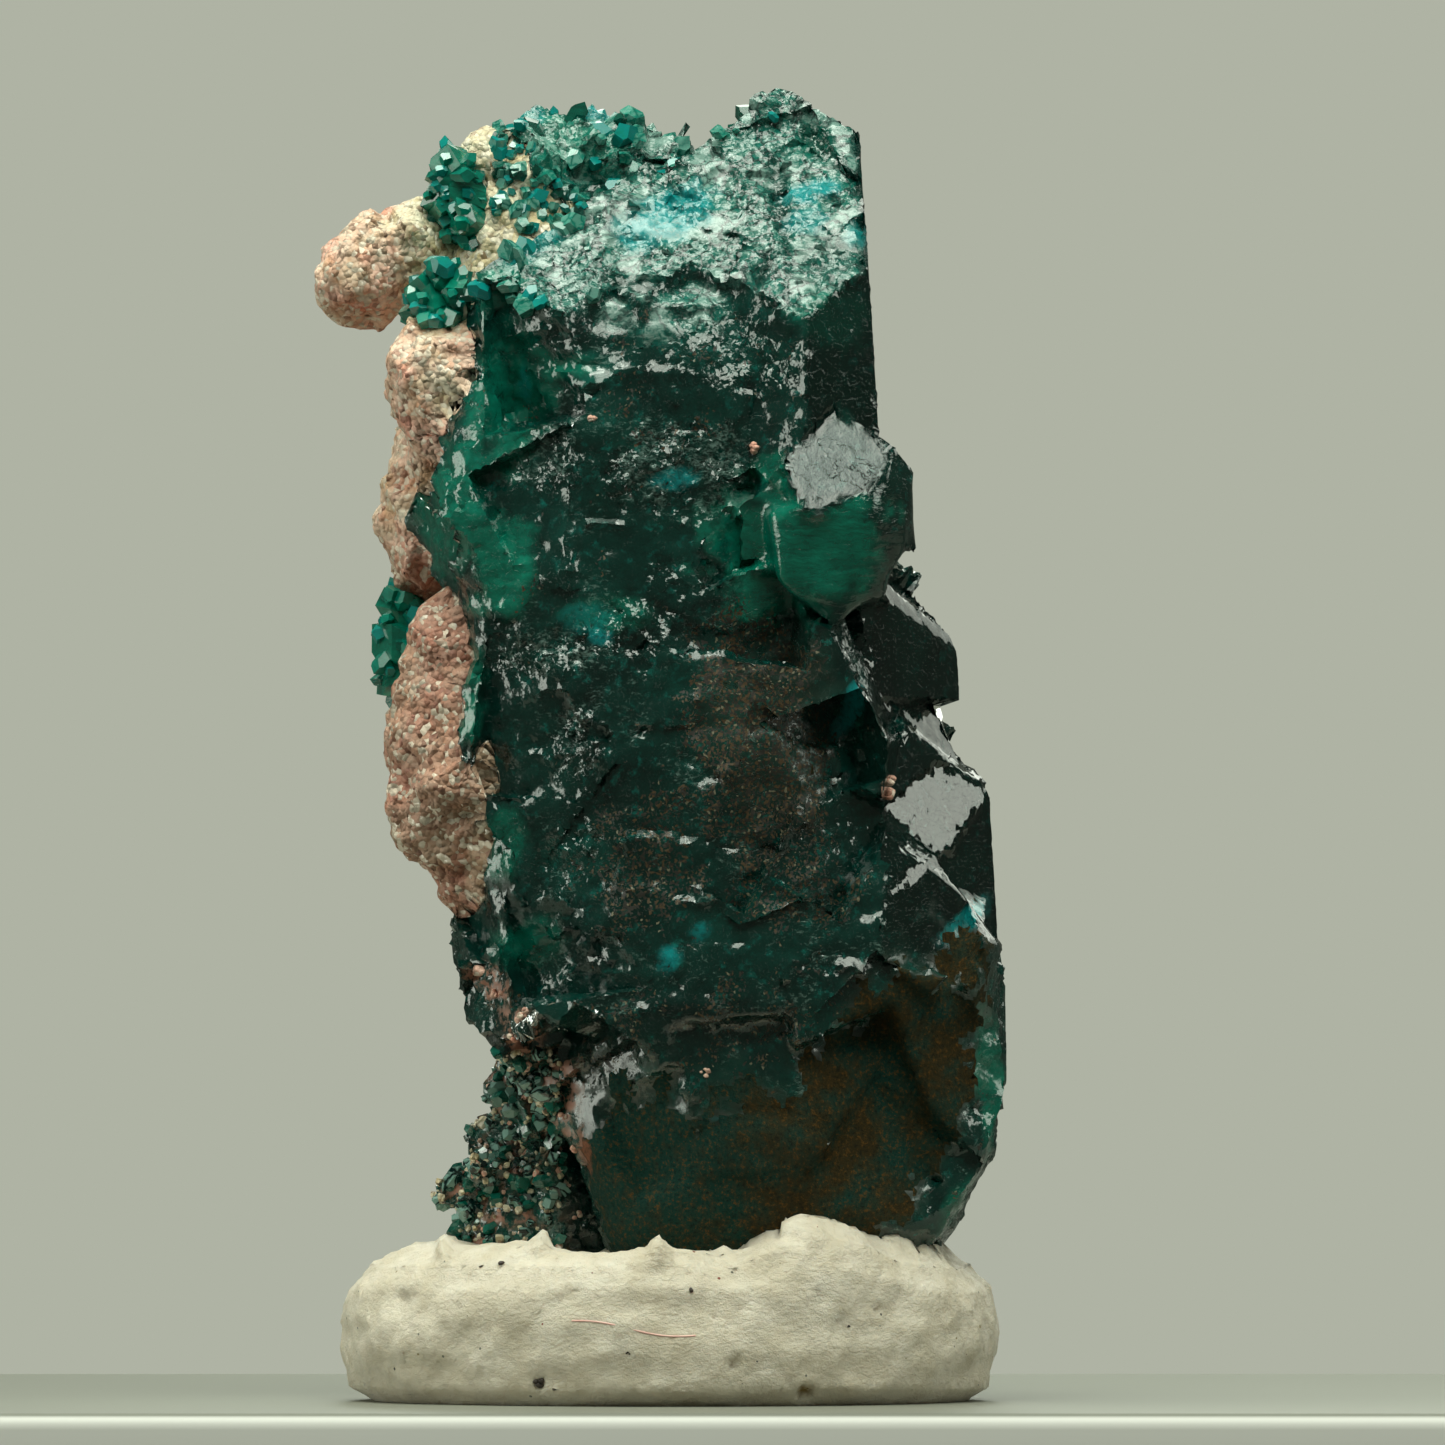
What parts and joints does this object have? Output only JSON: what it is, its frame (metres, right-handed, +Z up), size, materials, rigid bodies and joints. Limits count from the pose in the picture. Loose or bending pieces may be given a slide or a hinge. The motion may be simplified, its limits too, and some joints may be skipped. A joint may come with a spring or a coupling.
{
  "type": "dioptase crystal specimen in mineral tack",
  "caption": "Upright specimen of dark green dioptase crystals grown on pink and buff rock, its foot pressed into a flat pat of cream putty.",
  "frame": {"origin": "centre of the putty's flat underside, on the surface that the specimen stands on", "axes": "+Z up along the specimen, +X to the right as it is viewed, -Y towards the viewer and the broken front"},
  "size_m": [0.0168, 0.0132, 0.032],
  "materials": {
    "dioptase": "glassy on whole faces, hackly and dusted brown where broken",
    "matrix_rock": "granular, dull, with small sparkles",
    "putty": "soft satin, pitted, with dark specks"
  },
  "bodies": {
    "root": {"dioptase_crystals": "dioptase", "matrix": "matrix_rock", "cluster_top_left": "dioptase", "cluster_below_knob": "dioptase", "cluster_left": "dioptase", "cluster_back_upper": "dioptase", "cluster_back_lower": "dioptase", "putty_pat": "putty"}
  },
  "joints": []
}
